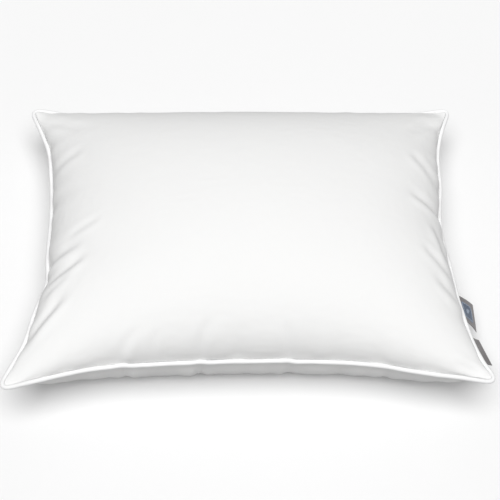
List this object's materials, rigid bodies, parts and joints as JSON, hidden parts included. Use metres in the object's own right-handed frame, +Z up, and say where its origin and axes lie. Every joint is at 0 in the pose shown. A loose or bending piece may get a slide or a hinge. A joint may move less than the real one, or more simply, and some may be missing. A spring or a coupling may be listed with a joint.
{
  "type": "bed pillow",
  "caption": "Plump rectangular bed pillow: corded cotton cover filled with feather and down, with two ribbon labels that flap at the side seam.",
  "frame": {"origin": "on the floor under the middle of the pillow", "axes": "+X along the long side, -Y towards the front edge, +Z up; the labels are on the +X seam near the front corner"},
  "size_m": [0.6384, 0.4879, 0.1812],
  "materials": {
    "cover_cotton": "fine white downproof cotton, plain weave with a faint sheen",
    "down_filling": "loose white feather and down",
    "cotton_cord": "twisted undyed cotton cord",
    "piping_cotton": "white cotton cut on the bias",
    "sewing_thread": "white polyester sewing thread",
    "label_ribbon": "warm grey satin ribbon",
    "woven_patch": "blue woven patch with a plain feather",
    "patch_thread": "pale blue sewing thread"
  },
  "bodies": {
    "pillow": {"top_panel": "cover_cotton", "bottom_panel": "cover_cotton", "down_fill": "down_filling", "piping_cord": "cotton_cord", "piping_cover": "piping_cotton", "needle_thread": "sewing_thread", "bobbin_thread": "sewing_thread", "closing_stitch": "sewing_thread", "label_roots": "label_ribbon"},
    "brand_flap": {"brand_label": "label_ribbon", "emblem_patch": "woven_patch", "patch_thread": "patch_thread"},
    "care_flap": {"care_label": "label_ribbon"}
  },
  "joints": [
    {"name": "brand_label_hinge", "type": "hinge", "parent": "pillow", "child": "brand_flap", "pos_m": [0.28621, -0.1243, 0.06558], "axis": [0.1216, -0.9926, 0], "range_deg": [-34, 92]},
    {"name": "care_label_hinge", "type": "hinge", "parent": "pillow", "child": "care_flap", "pos_m": [0.29604, -0.18663, 0.06469], "axis": [0.2357, -0.9718, 0], "range_deg": [-38, 86]}
  ]
}
